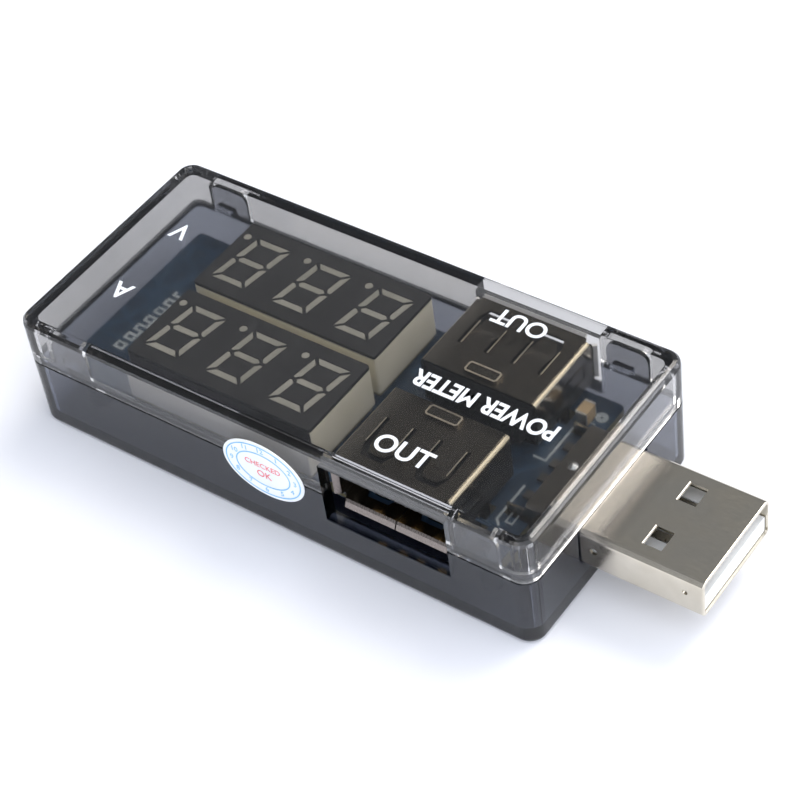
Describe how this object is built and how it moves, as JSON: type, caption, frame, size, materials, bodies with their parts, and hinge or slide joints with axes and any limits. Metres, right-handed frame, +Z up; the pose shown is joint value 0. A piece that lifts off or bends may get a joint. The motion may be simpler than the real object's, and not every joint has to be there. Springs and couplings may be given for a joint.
{
  "type": "usb power meter",
  "caption": "Smoked clear clamshell meter that plugs into a USB port and shows voltage and current above its side outlets.",
  "frame": {"origin": "middle of the case underside, which is the face that the meter rests on", "axes": "+X along the case towards the plug, +Y across the case towards outlet B, +Z up out of the displays"},
  "size_m": [0.074, 0.0282, 0.014],
  "materials": {
    "smoked_cover": "clear smoked grey plastic, polished",
    "smoked_base": "clear smoked blue-grey plastic, polished",
    "seal_paper": "printed paper seal",
    "board_laminate": "dark blue solder mask over glass laminate",
    "display_base": "bare laminate with tinned pins",
    "display_housing": "cream moulded plastic",
    "display_resin": "unlit grey-beige diffusing resin",
    "display_face": "dark grey face print",
    "nickel_steel": "nickel-plated pressed steel, warm and slightly brushed",
    "white_nylon": "white moulded nylon",
    "black_nylon": "black moulded nylon",
    "gold_contact": "gold-plated bronze",
    "chip_epoxy": "black moulded epoxy with tinned ends",
    "tan_ceramic": "tan ceramic with tinned ends"
  },
  "bodies": {
    "meter": {"upper_cover": "smoked_cover", "lower_case": "smoked_base", "inspection_seal": "seal_paper", "main_board": "board_laminate", "display_volts_base": "display_base", "display_volts_housing": "display_housing", "display_volts_resin": "display_resin", "display_volts_face": "display_face", "display_amps_base": "display_base", "display_amps_housing": "display_housing", "display_amps_resin": "display_resin", "display_amps_face": "display_face", "plug_shell": "nickel_steel", "plug_insulator": "white_nylon", "plug_contact_1": "gold_contact", "plug_contact_2": "gold_contact", "plug_contact_3": "gold_contact", "plug_contact_4": "gold_contact", "outlet_a_shell": "nickel_steel", "outlet_a_insulator": "black_nylon", "outlet_b_shell": "nickel_steel", "outlet_b_insulator": "black_nylon", "meter_chip": "chip_epoxy", "regulator": "chip_epoxy", "shunt_resistor": "chip_epoxy", "protection_diode": "chip_epoxy", "filter_capacitor": "tan_ceramic", "capacitor_1": "tan_ceramic", "capacitor_2": "tan_ceramic", "capacitor_3": "tan_ceramic", "resistor_1": "chip_epoxy", "resistor_2": "chip_epoxy", "resistor_3": "chip_epoxy", "resistor_4": "chip_epoxy"},
    "outlet_a_springs": {"outlet_a_contact_1": "gold_contact", "outlet_a_contact_2": "gold_contact", "outlet_a_contact_3": "gold_contact", "outlet_a_contact_4": "gold_contact"},
    "outlet_b_springs": {"outlet_b_contact_1": "gold_contact", "outlet_b_contact_2": "gold_contact", "outlet_b_contact_3": "gold_contact", "outlet_b_contact_4": "gold_contact"}
  },
  "joints": [
    {"name": "outlet_a_spring_lift", "type": "hinge", "parent": "meter", "child": "outlet_a_springs", "pos_m": [0.0143, -0.0043, 0.01015], "axis": [-1, 0, 0], "range_deg": [0, 3.5], "stiffness_Nm_per_rad": 0.2},
    {"name": "outlet_b_spring_lift", "type": "hinge", "parent": "meter", "child": "outlet_b_springs", "pos_m": [0.0143, 0.0043, 0.01015], "axis": [1, 0, 0], "range_deg": [0, 3.5], "stiffness_Nm_per_rad": 0.2}
  ]
}
